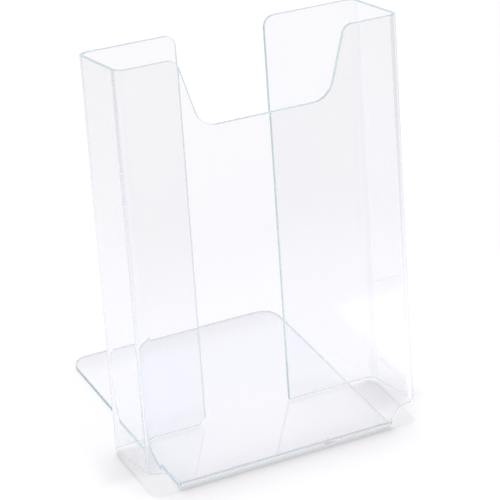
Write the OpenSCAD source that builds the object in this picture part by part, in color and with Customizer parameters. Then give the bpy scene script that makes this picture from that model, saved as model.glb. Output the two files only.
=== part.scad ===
// Leaning magazine pocket with an easel foot, bent from one sheet of clear plastic.
// The front faces -Y, +Z is up, and the origin is the centre of the footprint on the table.
// The sheet is divided at the tangent lines of its five heat bends, so each flat panel and
// each bend is a solid of its own that meets the next one face to face.

/* [Sheet] */
// Thickness of the plastic sheet
sheet_t = 3; // [2:0.25:4]
// Outer radius of the four vertical bends
corner_r = 9; // [6:0.5:16]
// Outer radius of the bend that turns the front panel under into the foot
foot_bend_r = 6; // [5:0.5:12]

/* [Pocket] */
// Width of the pocket over its sides
pocket_w = 235; // [180:1:320]
// Depth of the pocket from its front face to its back face
pocket_d = 67; // [36:1:110]
// Height of the pocket, measured up its slope
pocket_h = 312; // [180:1:420]
// Backward lean of the pocket in degrees
lean = 12.7; // [5:0.1:20]

/* [Finger cut-out] */
// Width of the cut-out along its floor, before its corners are rounded
cut_floor_w = 107; // [60:1:130]
// Depth of the cut-out below the top edge
cut_depth = 53.5; // [30:0.5:90]
// Slant of the cut-out's sides from the upright, in degrees
cut_slant = 17; // [0:0.5:25]
// Radius in the two lower corners of the cut-out
cut_floor_r = 17; // [5:0.5:20]
// Radius on the two upper corners of the cut-out
cut_top_r = 8; // [2:0.5:12]

/* [Back flanges] */
// Width of each back flange, from the side's outer face to its free edge
flange_w = 80; // [40:1:85]
// Radius on the upper inner corner of each flange
flange_corner_r = 9; // [2:0.5:15]
// Small corner snipped off the left flange at its lower free corner
flange_snip = 5; // [1:0.5:8]

/* [Foot] */
// How far each side of the foot is set in from the side of the pocket
foot_inset = 24; // [17:0.5:50]
// Depth of the foot from the front of its bend to its rear edge
foot_depth = 193; // [150:1:260]
// Radius on the two rear corners of the foot
foot_corner_r = 14; // [4:0.5:30]
// Gap between the back of the pocket's lower edge and the foot plate under it
rest_gap = 0.2; // [0.1:0.1:2]

/* [Shoulders of the front panel] */
// How far the shoulder beside the neck runs in before it turns down steeply
shoulder_run = 8; // [4:0.5:12]
// How far the shoulder drops over that run
shoulder_drop = 2.5; // [0:0.5:4]

/* [Hidden] */
$fn = 96;
clear_tint = [0.84, 0.93, 0.95, 0.45];
bend_tint = [0.74, 0.87, 0.90, 0.55];
// Over-run of a cutting shape past the face that it cuts
over = 1;
half_w = pocket_w / 2;
foot_w = pocket_w - 2 * foot_inset;
// Flat stretches lie between these lines, where the vertical bends begin
flat_half_w = half_w - corner_r;
flat_side_d = pocket_d - 2 * corner_r;
// Centre of the foot's bend
bend_y = foot_bend_r - foot_depth / 2;
bend_z = foot_bend_r;
// The pocket stands with its lower back edge just over the foot plate
pocket_z = sheet_t + rest_gap + pocket_d * sin(lean);
// Length of the neck, from the foot of the pocket down to the start of the foot's bend
neck = (pocket_z - foot_bend_r * (1 + sin(lean))) / cos(lean);
pocket_y = bend_y - foot_bend_r * cos(lean) + neck * sin(lean);
// Angle that the sheet turns through in the foot's bend
foot_turn = 90 + lean;
// Points and tangent lengths of the finger cut-out
cut_z = pocket_h - cut_depth;
cut_floor_x = cut_floor_w / 2;
cut_top_x = cut_floor_x + cut_depth * tan(cut_slant);
cut_floor_tangent = cut_floor_r / tan((90 + cut_slant) / 2);
cut_top_tangent = cut_top_r / tan((90 + cut_slant) / 2);

// Puts a pocket piece, drawn upright with its front face on Y = 0, at its lean on the foot
module leaned() {
  translate([0, pocket_y, pocket_z])
    rotate([-lean, 0, 0])
      children();
}

// Stands a flat outline up as a plate of sheet whose front face is on Y = 0
module upright_plate() {
  translate([0, sheet_t, 0])
    rotate([90, 0, 0])
      linear_extrude(sheet_t)
        children();
}

// Mirrors its children to the left or keeps them on the right
module on_side(left) {
  if (left) {
    mirror([1, 0, 0]) children();
  } else {
    children();
  }
}

// Section of the sheet at a bend: a ring, kept from angle 0 through the bend's turn
module bent_section(outer_r, turn) {
  reach = 2 * outer_r;
  intersection() {
    difference() {
      circle(r = outer_r);
      circle(r = outer_r - sheet_t);
    }
    polygon([
      [0, 0],
      [reach, 0],
      [reach, reach * tan(turn / 2)],
      [reach * cos(turn), reach * sin(turn)]
    ]);
  }
}

// Right half of the finger cut-out, as the shape that is taken away
module cut_out_half() {
  union() {
    polygon([
      [0, pocket_h + over],
      [0, cut_z],
      [cut_floor_x - cut_floor_tangent, cut_z],
      [
        cut_floor_x + cut_floor_tangent * sin(cut_slant),
        cut_z + cut_floor_tangent * cos(cut_slant)
      ],
      [cut_top_x, pocket_h],
      [cut_top_x, pocket_h + over]
    ]);
    translate([cut_floor_x - cut_floor_tangent, cut_z + cut_floor_r])
      circle(r = cut_floor_r);
    difference() {
      polygon([
        [
          cut_top_x - cut_top_tangent * sin(cut_slant),
          pocket_h - cut_top_tangent * cos(cut_slant)
        ],
        [cut_top_x + cut_top_tangent, pocket_h],
        [cut_top_x + cut_top_tangent, pocket_h + over],
        [cut_top_x - over, pocket_h + over]
      ]);
      translate([cut_top_x + cut_top_tangent, pocket_h - cut_top_r])
        circle(r = cut_top_r);
    }
  }
}

// Outline of the front panel with its shoulders and its neck, before the cut-out
module front_outline() {
  polygon([
    [-foot_w / 2, -neck],
    [foot_w / 2, -neck],
    [flat_half_w - shoulder_run, -shoulder_drop],
    [flat_half_w, 0],
    [flat_half_w, pocket_h],
    [-flat_half_w, pocket_h],
    [-flat_half_w, 0],
    [shoulder_run - flat_half_w, -shoulder_drop]
  ]);
}

// Flat front of the pocket
module front_panel() {
  color(clear_tint)
    leaned()
      upright_plate()
        difference() {
          front_outline();
          cut_out_half();
          mirror([1, 0]) cut_out_half();
        }
}

// Vertical bend between the front panel and a side
module front_bend(left) {
  color(bend_tint)
    leaned()
      on_side(left)
        translate([flat_half_w, corner_r, 0])
          rotate([0, 0, -90])
            linear_extrude(pocket_h)
              bent_section(corner_r, 90);
}

module front_left_bend() {
  front_bend(true);
}

module front_right_bend() {
  front_bend(false);
}

// Flat side of the pocket
module side_panel(left) {
  color(clear_tint)
    leaned()
      on_side(left)
        translate([half_w - sheet_t, corner_r, 0])
          cube([sheet_t, flat_side_d, pocket_h]);
}

module left_side_panel() {
  side_panel(true);
}

module right_side_panel() {
  side_panel(false);
}

// Vertical bend between a side and its back flange
module rear_bend(left) {
  color(bend_tint)
    leaned()
      on_side(left)
        translate([flat_half_w, pocket_d - corner_r, 0])
          linear_extrude(pocket_h)
            bent_section(corner_r, 90);
}

module rear_left_bend() {
  rear_bend(true);
}

module rear_right_bend() {
  rear_bend(false);
}

// Outline of a right-hand back flange: snip is the size of its lower free corner's chamfer
module flange_outline(snip) {
  free_x = half_w - flange_w;
  corner_x = free_x + flange_corner_r;
  corner_z = pocket_h - flange_corner_r;
  union() {
    polygon([
      [free_x + snip, 0],
      [flat_half_w, 0],
      [flat_half_w, pocket_h],
      [corner_x, pocket_h],
      [corner_x, corner_z],
      [free_x, corner_z],
      [free_x, snip]
    ]);
    translate([corner_x, corner_z])
      circle(r = flange_corner_r);
  }
}

// Flat flange at the back of the pocket
module back_flange(left, snip) {
  color(clear_tint)
    leaned()
      on_side(left)
        translate([0, pocket_d - sheet_t, 0])
          upright_plate()
            flange_outline(snip);
}

module left_back_flange() {
  back_flange(true, flange_snip);
}

module right_back_flange() {
  back_flange(false, 0);
}

// Tight bend along the front lower edge, from the neck down into the foot plate
module foot_bend() {
  color(bend_tint)
    translate([-foot_w / 2, bend_y, bend_z])
      rotate([90, 0, 90])
        linear_extrude(foot_w)
          rotate([0, 0, 180 - lean])
            bent_section(foot_bend_r, foot_turn);
}

// Outline of the foot plate, from its bend back to its rounded rear corners
module foot_outline() {
  rear_y = foot_depth / 2;
  straight_y = rear_y - foot_corner_r;
  inner_x = foot_w / 2 - foot_corner_r;
  union() {
    translate([-foot_w / 2, bend_y])
      square([foot_w, straight_y - bend_y]);
    translate([-inner_x, bend_y])
      square([2 * inner_x, rear_y - bend_y]);
    for (x = [-inner_x, inner_x])
      translate([x, straight_y])
        circle(r = foot_corner_r);
  }
}

// Flat plate that is the floor of the pocket and the foot behind it
module foot_plate() {
  color(clear_tint)
    linear_extrude(sheet_t)
      foot_outline();
}

front_panel();
front_left_bend();
front_right_bend();
left_side_panel();
right_side_panel();
rear_left_bend();
rear_right_bend();
left_back_flange();
right_back_flange();
foot_bend();
foot_plate();
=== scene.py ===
"""A leaning magazine pocket on an easel foot, heat-bent from one sheet of clear acrylic."""
import math

import bmesh
import bpy
from mathutils import Matrix, Vector


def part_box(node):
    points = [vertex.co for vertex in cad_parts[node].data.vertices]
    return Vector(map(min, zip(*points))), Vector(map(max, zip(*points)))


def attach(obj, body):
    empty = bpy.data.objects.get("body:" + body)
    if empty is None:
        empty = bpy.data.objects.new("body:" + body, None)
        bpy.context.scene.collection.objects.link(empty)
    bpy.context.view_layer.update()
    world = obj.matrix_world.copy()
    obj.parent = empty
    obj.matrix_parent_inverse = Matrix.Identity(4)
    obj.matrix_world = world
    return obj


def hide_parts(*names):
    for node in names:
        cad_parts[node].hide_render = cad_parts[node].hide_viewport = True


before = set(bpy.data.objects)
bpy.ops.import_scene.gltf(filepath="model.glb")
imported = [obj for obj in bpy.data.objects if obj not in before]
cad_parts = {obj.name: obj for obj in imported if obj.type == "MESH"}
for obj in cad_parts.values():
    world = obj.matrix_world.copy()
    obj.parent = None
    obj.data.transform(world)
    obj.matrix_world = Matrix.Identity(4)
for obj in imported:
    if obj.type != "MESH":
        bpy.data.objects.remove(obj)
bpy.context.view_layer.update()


# The front panel: the first flat to be cut, 3 mm clear acrylic with a finger cut-out in its
# top edge and a neck below. The sheet is saw-cut to the outline and its edges are
# flame-polished, which leaves them slightly rounded.
foot_low, foot_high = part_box("foot_plate")
sheet = foot_high.z
lean = math.radians(12.7)
half_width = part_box("right_side_panel")[1].x
corner_radius = 0.009
pocket_depth = 0.067
pocket_height = 0.312
rest_gap = 0.0002
foot_bend_radius = foot_low.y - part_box("foot_bend")[0].y
foot_half_width = foot_high.x

flat_half_width = half_width - corner_radius
pocket_z = sheet + rest_gap + pocket_depth * math.sin(lean)
neck = (pocket_z - foot_bend_radius * (1 + math.sin(lean))) / math.cos(lean)
pocket_y = foot_low.y - foot_bend_radius * math.cos(lean) + neck * math.sin(lean)
leaned = Matrix.Translation((0, pocket_y, pocket_z)) @ Matrix.Rotation(-lean, 4, "X")

edge_round = 0.0004
edge_steps = 3
soft_crease = math.radians(31)
square_on = 0.999
touching = 1e-6
acrylic_ior = 1.49
# the sheet's tint with a painted reflection added: bluer at the foot, lighter and greyer at the top
foot_tint_and_painted_reflection = (0.966, 0.973, 0.990)
top_tint_and_painted_reflection = (0.979, 0.980, 0.981)
tint_clouds = 7
painted_reflection_climb = 1.2
tint_from, tint_to = 0.45, 0.90
haze_from, haze_to = 0.35, 0.75


def acrylic(name, low_tint_and_painted_reflection, high_tint_and_painted_reflection, haze, streak, wave_depth):
    """One finish of the sheet: a tint that drifts, a faint haze in its polish, a slow wave.

    The tint runs from the low colour at the foot to the high colour at the top. This change with
    height is a painted reflection: lighter and greyer towards the top, bluer low down. Broad clouds
    of random tone shift it here and there. haze is the clearest and the dullest roughness, and
    streak is how fine the haze and the wave run along x, y and z.
    """
    material = bpy.data.materials.new(name)
    material.use_nodes = True
    nodes, links = material.node_tree.nodes, material.node_tree.links
    shader = nodes["Principled BSDF"]
    shader.inputs["IOR"].default_value = acrylic_ior
    shader.inputs["Transmission Weight"].default_value = 1.0
    place = nodes.new("ShaderNodeTexCoord")
    cloud = nodes.new("ShaderNodeTexNoise")
    cloud.inputs["Scale"].default_value = tint_clouds
    cloud.inputs["Detail"].default_value = 2
    links.new(place.outputs["Object"], cloud.inputs["Vector"])
    # the colour climbs with height as a painted reflection; the clouds add random tone
    height = nodes.new("ShaderNodeSeparateXYZ")
    links.new(place.outputs["Object"], height.inputs[0])
    rise = nodes.new("ShaderNodeMath")
    rise.operation = "MULTIPLY_ADD"
    rise.inputs[1].default_value = painted_reflection_climb
    links.new(height.outputs["Z"], rise.inputs[0])
    links.new(cloud.outputs["Fac"], rise.inputs[2])
    ramp = nodes.new("ShaderNodeValToRGB")
    low_stop, high_stop = ramp.color_ramp.elements
    low_stop.position, low_stop.color = tint_from, (*low_tint_and_painted_reflection, 1)
    high_stop.position, high_stop.color = tint_to, (*high_tint_and_painted_reflection, 1)
    links.new(rise.outputs[0], ramp.inputs["Fac"])
    links.new(ramp.outputs["Color"], shader.inputs["Base Color"])
    grain = nodes.new("ShaderNodeMapping")
    grain.inputs["Scale"].default_value = streak
    links.new(place.outputs["Object"], grain.inputs["Vector"])
    rub = nodes.new("ShaderNodeTexNoise")
    rub.inputs["Scale"].default_value = 1
    rub.inputs["Detail"].default_value = 3
    links.new(grain.outputs["Vector"], rub.inputs["Vector"])
    polish = nodes.new("ShaderNodeMapRange")
    polish.inputs["From Min"].default_value = haze_from
    polish.inputs["From Max"].default_value = haze_to
    polish.inputs["To Min"].default_value, polish.inputs["To Max"].default_value = haze
    links.new(rub.outputs["Fac"], polish.inputs["Value"])
    links.new(polish.outputs["Result"], shader.inputs["Roughness"])
    wave = nodes.new("ShaderNodeBump")
    wave.inputs["Strength"].default_value = 1
    wave.inputs["Distance"].default_value = wave_depth
    links.new(rub.outputs["Fac"], wave.inputs["Height"])
    links.new(wave.outputs["Normal"], shader.inputs["Normal"])
    return material


def inside_the_sheet():
    """Nothing at all: where one stretch of the sheet runs on into the next."""
    material = bpy.data.materials.new("inside_the_sheet")
    material.use_nodes = True
    shader = material.node_tree.nodes["Principled BSDF"]
    shader.inputs["Alpha"].default_value = 0.0
    return material


FACE, EDGE, SEAM, BEND = 0, 1, 2, 3
finishes = [
    acrylic("clear_acrylic", foot_tint_and_painted_reflection, top_tint_and_painted_reflection,
            haze=(0.0, 0.03), streak=(25, 25, 25), wave_depth=0.000004),
    acrylic("cut_edge", (0.54, 0.73, 0.74), (0.58, 0.74, 0.75),
            haze=(0.03, 0.12), streak=(260, 260, 260), wave_depth=0.000010),
    inside_the_sheet(),
]


def give_depth(section, depth):
    """Turns a flat section into a solid that runs back along y."""
    grown = bmesh.ops.extrude_face_region(section, geom=section.faces[:], use_keep_orig=True)
    moved = [v for v in grown["geom"] if isinstance(v, bmesh.types.BMVert)]
    bmesh.ops.translate(section, verts=moved, vec=(0, depth, 0))


def cut_panel(outline, along_seam):
    """A flat of the sheet from its outline, a list of (x, z, corner radius, corner steps).

    It stands with its front on y = 0. along_seam(point) is true for a point on a line where
    the sheet runs on, so the rim there is neither rounded nor an edge.
    """
    panel = bmesh.new()
    corners = [panel.verts.new((x, 0, z)) for x, z, radius, steps in outline]
    panel.faces.new(corners)
    for corner, (x, z, radius, steps) in zip(corners, outline):
        if radius:
            before, after = (e.other_vert(corner).co - corner.co for e in corner.link_edges)
            tangent = radius / math.tan(before.angle(after) / 2)
            bmesh.ops.bevel(panel, geom=[corner], affect="VERTICES", offset=tangent,
                            segments=steps, profile=0.5, material=-1)
    give_depth(panel, sheet)
    bmesh.ops.recalc_face_normals(panel, faces=panel.faces[:])
    rim = [e for e in panel.edges
           if abs(e.verts[0].co.y - e.verts[1].co.y) < touching
           and not (along_seam(e.verts[0].co) and along_seam(e.verts[1].co))]
    bmesh.ops.bevel(panel, geom=rim, affect="EDGES", offset=edge_round,
                    segments=edge_steps, profile=0.5, material=-1)
    for face in panel.faces:
        if abs(face.normal.y) > square_on:
            face.material_index = FACE
        elif all(along_seam(v.co) for v in face.verts):
            face.material_index = SEAM
        else:
            face.material_index = EDGE
    return panel


def in_steady_order(piece):
    """Sorts edges and faces by their points, as extrude and spin list them in a chance order."""
    points = len(piece.verts)
    piece.verts.index_update()

    def rank(element):
        place = 0
        for index in sorted(v.index for v in element.verts)[:3]:
            place = place * points + index
        return place

    piece.edges.sort(key=rank)
    piece.faces.sort(key=rank)


def finish_piece(name, piece, node):
    """Turns a finished bmesh into the visible piece that stands for its CAD node."""
    in_steady_order(piece)
    for face in piece.faces:
        face.smooth = True
    for edge in piece.edges:
        first, second = edge.link_faces
        edge.smooth = (first.material_index == second.material_index
                       and edge.calc_face_angle() < soft_crease)
    mesh = bpy.data.meshes.new(name)
    piece.to_mesh(mesh)
    piece.free()
    for material in finishes:
        mesh.materials.append(material)
    made = bpy.data.objects.new(name, mesh)
    bpy.context.scene.collection.objects.link(made)
    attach(made, "root")
    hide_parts(node)


cut_floor = 0.107 / 2
cut_depth = 0.0535
cut_top = cut_floor + cut_depth * math.tan(math.radians(17))
cut_floor_corner = 0.017
cut_top_corner = 0.008
shoulder_run = 0.008
shoulder_drop = 0.0025
shoulder_corner = 0.004

right_half = [
    (foot_half_width, -neck, 0, 0),
    (flat_half_width - shoulder_run, -shoulder_drop, shoulder_corner, 4),
    (flat_half_width, 0, 0, 0),
    (flat_half_width, pocket_height, 0, 0),
    (cut_top, pocket_height, cut_top_corner, 12),
    (cut_floor, pocket_height - cut_depth, cut_floor_corner, 16),
]
left_half = [(-x, z, radius, steps) for x, z, radius, steps in reversed(right_half)]


def meets_side_or_foot(point):
    """True where the front panel runs on into a side's bend or the foot's bend."""
    on_side = abs(abs(point.x) - flat_half_width) < touching
    return on_side or abs(point.z + neck) < touching


front = cut_panel(right_half + left_half, meets_side_or_foot)
front.transform(leaned)
finish_piece("front_panel_clear", front, "front_panel")


# The four upright bends: the sheet is softened along a line over a hot wire and folded to a
# right angle, which leaves an even wall turned about a small inner radius.
bend_steps = 64
# painted shade: a grey-blue darkening on the outer skin of the upright bends, for the dark lines
# they show
painted_bend_shade = (0.85, 0.88, 0.92, 1)
turned_away = 0.01
upright = Vector((0, 0, 1))


def bend_with_painted_shade():
    """The outer skin of a bend, with a painted grey-blue shade for the dark lines that a bend
    shows, strongest beside the side panel.
    """
    material = acrylic("bend_with_painted_shade", foot_tint_and_painted_reflection, top_tint_and_painted_reflection,
                       haze=(0.01, 0.04), streak=(60, 60, 12), wave_depth=0.000006)
    nodes, links = material.node_tree.nodes, material.node_tree.links
    shader = nodes["Principled BSDF"]
    tint_and_painted_reflection = shader.inputs["Base Color"].links[0].from_socket
    facing = nodes.new("ShaderNodeNewGeometry")
    sideways = nodes.new("ShaderNodeSeparateXYZ")
    links.new(facing.outputs["Normal"], sideways.inputs[0])
    share = nodes.new("ShaderNodeMath")
    share.operation = "MULTIPLY"
    links.new(sideways.outputs["X"], share.inputs[0])
    links.new(sideways.outputs["X"], share.inputs[1])
    cast = nodes.new("ShaderNodeMix")
    cast.data_type = "RGBA"
    links.new(share.outputs[0], cast.inputs["Factor"])
    links.new(tint_and_painted_reflection, next(s for s in cast.inputs if s.identifier == "A_Color"))
    next(s for s in cast.inputs if s.identifier == "B_Color").default_value = painted_bend_shade
    shaded_tint = next(s for s in cast.outputs if s.identifier == "Result_Color")
    links.new(shaded_tint, shader.inputs["Base Color"])
    return material


finishes.append(bend_with_painted_shade())


def strip_section(x, y):
    """The sheet's cross-section where it is cut only at top and bottom, as one face."""
    section = bmesh.new()
    corners = [section.verts.new(p) for p in (
        (x, y, 0), (x + sheet, y, 0), (x + sheet, y, pocket_height), (x, y, pocket_height))]
    section.faces.new(corners)
    bmesh.ops.bevel(section, geom=corners, affect="VERTICES", offset=edge_round,
                    segments=edge_steps, profile=0.5, material=-1)
    return section


def strip_finish(strip, cut_axis):
    """Sorts a strip's faces into its polished faces, its cut edges and its two seams.

    cut_axis is the way along which the strip ends in its cut edges.
    """
    strip.normal_update()
    bmesh.ops.recalc_face_normals(strip, faces=strip.faces[:])
    for face in strip.faces:
        if len(face.verts) > 4:
            face.material_index = SEAM
        elif abs(face.normal.dot(cut_axis)) > turned_away:
            face.material_index = EDGE
        else:
            face.material_index = FACE


def upright_bend(side, middle_y, start_angle):
    """A right-angle bend about an upright axis; side is -1 on the left and 1 on the right."""
    bend = strip_section(corner_radius - sheet, 0)
    bmesh.ops.rotate(bend, verts=bend.verts[:], matrix=Matrix.Rotation(start_angle, 3, "Z"))
    bmesh.ops.spin(bend, geom=bend.verts[:] + bend.edges[:] + bend.faces[:], cent=(0, 0, 0),
                   axis=(0, 0, 1), angle=math.pi / 2, steps=bend_steps, use_merge=False)
    bmesh.ops.translate(bend, verts=bend.verts[:], vec=(flat_half_width, middle_y, 0))
    bmesh.ops.scale(bend, verts=bend.verts[:], vec=(side, 1, 1))
    strip_finish(bend, upright)
    axis = Vector((side * flat_half_width, middle_y))
    # the outside faces take the bend finish with its painted shade
    for face in bend.faces:
        outside = (face.calc_center_median().xy - axis).length > corner_radius - sheet / 2
        if outside and face.material_index == FACE:
            face.material_index = BEND
    bend.transform(leaned)
    return bend


for word, side in (("left", -1), ("right", 1)):
    front_bend = upright_bend(side, corner_radius, -math.pi / 2)
    finish_piece(f"front_{word}_bend_clear", front_bend, f"front_{word}_bend")
    rear_bend = upright_bend(side, pocket_depth - corner_radius, 0)
    finish_piece(f"rear_{word}_bend_clear", rear_bend, f"rear_{word}_bend")


# The two side panels: narrow flats between a front bend and a rear bend, cut square at the
# top and bottom.
for word, side in (("left", -1), ("right", 1)):
    panel = strip_section(half_width - sheet, corner_radius)
    give_depth(panel, pocket_depth - 2 * corner_radius)
    bmesh.ops.scale(panel, verts=panel.verts[:], vec=(side, 1, 1))
    strip_finish(panel, upright)
    panel.transform(leaned)
    finish_piece(f"{word}_side_panel_clear", panel, f"{word}_side_panel")


# The two back flanges: flats that close the pocket's back only part of the way, each with
# its upper free corner rounded, and a small corner snipped off below on the left one.
flange_width = 0.080
flange_corner = 0.009
flange_snip = 0.005
free_edge = half_width - flange_width


def meets_rear_bend(point):
    """True where a flange runs on into its side's rear bend."""
    return abs(abs(point.x) - flat_half_width) < touching


for word, side in (("left", -1), ("right", 1)):
    if word == "left":
        lower_corner = [(free_edge, flange_snip, 0, 0), (free_edge + flange_snip, 0, 0, 0)]
    else:
        lower_corner = [(free_edge, 0, 0, 0)]
    outline = lower_corner + [
        (flat_half_width, 0, 0, 0),
        (flat_half_width, pocket_height, 0, 0),
        (free_edge, pocket_height, flange_corner, 12),
    ]
    flange = cut_panel(outline, meets_rear_bend)
    bmesh.ops.translate(flange, verts=flange.verts[:], vec=(0, pocket_depth - sheet, 0))
    bmesh.ops.scale(flange, verts=flange.verts[:], vec=(side, 1, 1))
    flange.normal_update()
    bmesh.ops.recalc_face_normals(flange, faces=flange.faces[:])
    flange.transform(leaned)
    finish_piece(f"{word}_back_flange_clear", flange, f"{word}_back_flange")


# The foot's bend: a tight fold along the front lower edge that turns the neck of the front
# panel under.
fold_back = sheet - foot_bend_radius
fold = bmesh.new()
fold_corners = [fold.verts.new(p) for p in (
    (-foot_half_width, -foot_bend_radius, 0), (foot_half_width, -foot_bend_radius, 0),
    (foot_half_width, fold_back, 0), (-foot_half_width, fold_back, 0))]
fold.faces.new(fold_corners)
bmesh.ops.bevel(fold, geom=fold_corners, affect="VERTICES", offset=edge_round,
                segments=edge_steps, profile=0.5, material=-1)
bmesh.ops.rotate(fold, verts=fold.verts[:], matrix=Matrix.Rotation(math.pi / 2, 3, "X"))
bmesh.ops.spin(fold, geom=fold.verts[:] + fold.edges[:] + fold.faces[:], cent=(0, 0, 0),
               axis=(1, 0, 0), angle=-(math.pi / 2 + lean), steps=bend_steps, use_merge=False)
bmesh.ops.translate(fold, verts=fold.verts[:], vec=(0, foot_low.y, foot_bend_radius))
strip_finish(fold, Vector((1, 0, 0)))
finish_piece("foot_bend_clear", fold, "foot_bend")


# The foot plate: the last flat of the sheet, lying on the table. Magazines stand on it, and
# it runs out behind as an easel foot with two rounded corners.
foot_corner = 0.014
foot_outline = [
    (-foot_half_width, foot_low.y, 0, 0),
    (foot_half_width, foot_low.y, 0, 0),
    (foot_half_width, foot_high.y, foot_corner, 14),
    (-foot_half_width, foot_high.y, foot_corner, 14),
]


def meets_foot_bend(point):
    """True where the plate, still standing, runs on into the foot's bend."""
    return abs(point.z - foot_low.y) < touching


foot = cut_panel(foot_outline, meets_foot_bend)
laid_flat = Matrix.Translation((0, 0, sheet)) @ Matrix.Rotation(-math.pi / 2, 4, "X")
foot.transform(laid_flat)
finish_piece("foot_plate_clear", foot, "foot_plate")


# The table: pale matt paper that glows with painted light. The painted glow is stronger under the
# foot, in front of it and clear of the pocket's sides, as far back as the foot reaches. Beside the
# foot it stays low in a strip, as a painted shadow of the pocket's sides. Far to each side and
# towards the camera the paper and its glow turn darker, a painted shade which the flats reflect as
# a soft grey.
table_gap = 0.0001
table_low, table_high = 0.35, 0.45
# the paper's colour and glow near the pocket, and darker far off as painted shade
near_paper, far_paper_painted_shade = (0.35, 0.347, 0.354, 1), (0.16, 0.16, 0.15, 1)
near_glow, far_glow = (1, 0.99, 1.01, 1), (0.4, 0.4, 0.36, 1)
across_the_view = (0.861, -0.509, 0)
aside_from, aside_to, aside_share = 0.24, 0.60, 0.4
front_from, front_to = -0.45, -1.3

floor_mesh = bpy.data.meshes.new("floor")
floor_shape = bmesh.new()
bmesh.ops.create_grid(floor_shape, x_segments=1, y_segments=1, size=8)
bmesh.ops.translate(floor_shape, verts=floor_shape.verts[:], vec=(0, 0, -table_gap))
floor_shape.to_mesh(floor_mesh)
floor_shape.free()
floor = bpy.data.objects.new("floor", floor_mesh)
bpy.context.scene.collection.objects.link(floor)
paper = bpy.data.materials.new("table_with_painted_glow")
paper.use_nodes = True
paper_nodes, paper_links = paper.node_tree.nodes, paper.node_tree.links
paper_shader = paper_nodes["Principled BSDF"]
paper_shader.inputs["Roughness"].default_value = 0.9
paper_shader.inputs["Specular IOR Level"].default_value = 0.0
spot = paper_nodes.new("ShaderNodeTexCoord").outputs["Object"]
spot_split = paper_nodes.new("ShaderNodeSeparateXYZ")
paper_links.new(spot, spot_split.inputs[0])
spot_y = spot_split.outputs["Y"]


def soft_step(tree, value, start, end, low, high):
    """A smooth change from low to high as value goes from start to end."""
    node = tree.nodes.new("ShaderNodeMapRange")
    node.interpolation_type = "SMOOTHSTEP"
    tree.links.new(value, node.inputs["Value"])
    for name, number in (("From Min", start), ("From Max", end), ("To Min", low), ("To Max", high)):
        node.inputs[name].default_value = number
    return node.outputs[0]


def along(tree, value, direction):
    """How far a vector reaches along a direction."""
    dot = tree.nodes.new("ShaderNodeVectorMath")
    dot.operation = "DOT_PRODUCT"
    tree.links.new(value, dot.inputs[0])
    dot.inputs[1].default_value = direction
    return dot.outputs["Value"]


def on_paper(operation, *values):
    """A sum on the paper's own values, such as the larger of two."""
    node = paper_nodes.new("ShaderNodeMath")
    node.operation = operation
    for value, socket in zip(values, node.inputs):
        paper_links.new(value, socket)
    return node.outputs[0]


def paper_step(value, start, end, low, high):
    """A smooth change on the paper, as soft_step makes it."""
    return soft_step(paper.node_tree, value, start, end, low, high)


# each patch of painted glow ends softly, over a few millimetres under the foot and more elsewhere
beside = on_paper("ABSOLUTE", spot_split.outputs["X"])
under_foot = paper_step(beside, foot_half_width - 0.003, foot_half_width + 0.001, 1, 0)
clear_of_it = paper_step(beside, half_width + 0.008, half_width + 0.045, 0, 1)
in_front = paper_step(spot_y, foot_low.y + 0.035, foot_low.y + 0.010, 0, 1)
near_foot = paper_step(spot_y, foot_high.y + 0.01, foot_high.y - 0.04, 0, 1)
painted_glow_patches = on_paper("MAXIMUM", on_paper("MAXIMUM", under_foot, clear_of_it), in_front)
# the painted glow: low everywhere, raised on the patches
glow = paper_step(on_paper("MULTIPLY", painted_glow_patches, near_foot), 0, 1, table_low, table_high)
paper_links.new(glow, paper_shader.inputs["Emission Strength"])
far_aside = on_paper("ABSOLUTE", along(paper.node_tree, spot, across_the_view))
# far to each side and towards the camera the paper and its glow darken, a painted shade that the
# flats reflect as a soft grey
painted_falloff = on_paper("MAXIMUM", paper_step(spot_y, front_from, front_to, 0, 1),
                paper_step(far_aside, aside_from, aside_to, 0, aside_share))
for name, near, far in (("Base Color", near_paper, far_paper_painted_shade),
                        ("Emission Color", near_glow, far_glow)):
    mix = paper_nodes.new("ShaderNodeMix")
    mix.data_type = "RGBA"
    next(s for s in mix.inputs if s.identifier == "A_Color").default_value = near
    next(s for s in mix.inputs if s.identifier == "B_Color").default_value = far
    paper_links.new(painted_falloff, mix.inputs["Factor"])
    mixed = next(s for s in mix.outputs if s.identifier == "Result_Color")
    paper_links.new(mixed, paper_shader.inputs[name])
floor_mesh.materials.append(paper)


# The room: a white surround that is dimmer on the camera's side, so that what the flats
# reflect from there stays below the white that shows through them.
dim_side = Vector((-0.15, -1, 0.1)).normalized()
bright_wall, dim_wall = 1.15, 0.30
bright_until, dim_from = -0.7, 0.75
wall_white = (1.0, 0.985, 1.03, 1)

world = bpy.data.worlds.new("studio")
bpy.context.scene.world = world
world.use_nodes = True
room = world.node_tree
background = room.nodes["Background"]
outward = room.nodes.new("ShaderNodeTexCoord").outputs["Generated"]
wall = soft_step(room, along(room, outward, dim_side), bright_until, dim_from,
                 bright_wall, dim_wall)
room.links.new(wall, background.inputs["Strength"])
background.inputs["Color"].default_value = wall_white


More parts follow.
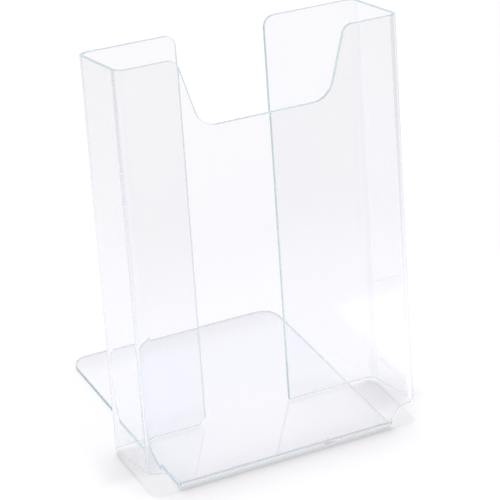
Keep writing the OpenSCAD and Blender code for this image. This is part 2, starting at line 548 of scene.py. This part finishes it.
# The lights: two wide soft keys above and behind, one for the pocket's shadow and one for the
# foot's. Flat clear sheet lets them by, so only what really darkens the table stands in each.
def soft_key(name, energy, spread, turn, pieces):
    """A wide soft light that only these pieces stand in the way of."""
    data = bpy.data.lights.new(name, "SUN")
    data.energy = energy
    data.angle = math.radians(spread)
    key = bpy.data.objects.new(name, data)
    bpy.context.scene.collection.objects.link(key)
    key.rotation_euler = [math.radians(degrees) for degrees in turn]
    key.visible_glossy = False
    key.visible_transmission = False
    casters = bpy.data.collections.new(name + "_casters")
    for piece in pieces:
        casters.objects.link(bpy.data.objects[piece + "_clear"])
    key.light_linking.blocker_collection = casters


soft_key("overhead_key", energy=2.3, spread=15, turn=(-13.5, 0, 0), pieces=(
    "front_panel", "front_left_bend", "front_right_bend", "left_side_panel",
    "right_side_panel", "rear_left_bend", "rear_right_bend"))
soft_key("low_key", energy=2.0, spread=56, turn=(-36, 0, 0), pieces=("foot_bend",))


# The camera: a long lens, a little to the left and above, as one looks down at a table. Clear
# sheet needs many bounces, because light runs a long way inside it before it comes out.
sheet_bounces = 600
camera_data = bpy.data.cameras.new("camera")
camera = bpy.data.objects.new("camera", camera_data)
bpy.context.scene.collection.objects.link(camera)
bpy.context.scene.camera = camera
camera_data.sensor_width = 36
camera_data.lens = 173.2
camera.location = (-0.7992, -1.3749, 1.0758)
looking = Vector((0.4379, 0.7409, -0.5092)).normalized()
right = Vector((0.8724, -0.4870, 0.0418)).normalized()
up = right.cross(looking)
camera.matrix_world = Matrix((
    (right.x, up.x, -looking.x, camera.location.x),
    (right.y, up.y, -looking.y, camera.location.y),
    (right.z, up.z, -looking.z, camera.location.z),
    (0, 0, 0, 1)))
camera_data.clip_start = 0.05
camera_data.clip_end = 30

scene = bpy.context.scene
scene.view_settings.view_transform = "Standard"
scene.cycles.max_bounces = sheet_bounces
scene.cycles.transmission_bounces = sheet_bounces
scene.cycles.glossy_bounces = sheet_bounces
scene.cycles.transparent_max_bounces = 1000
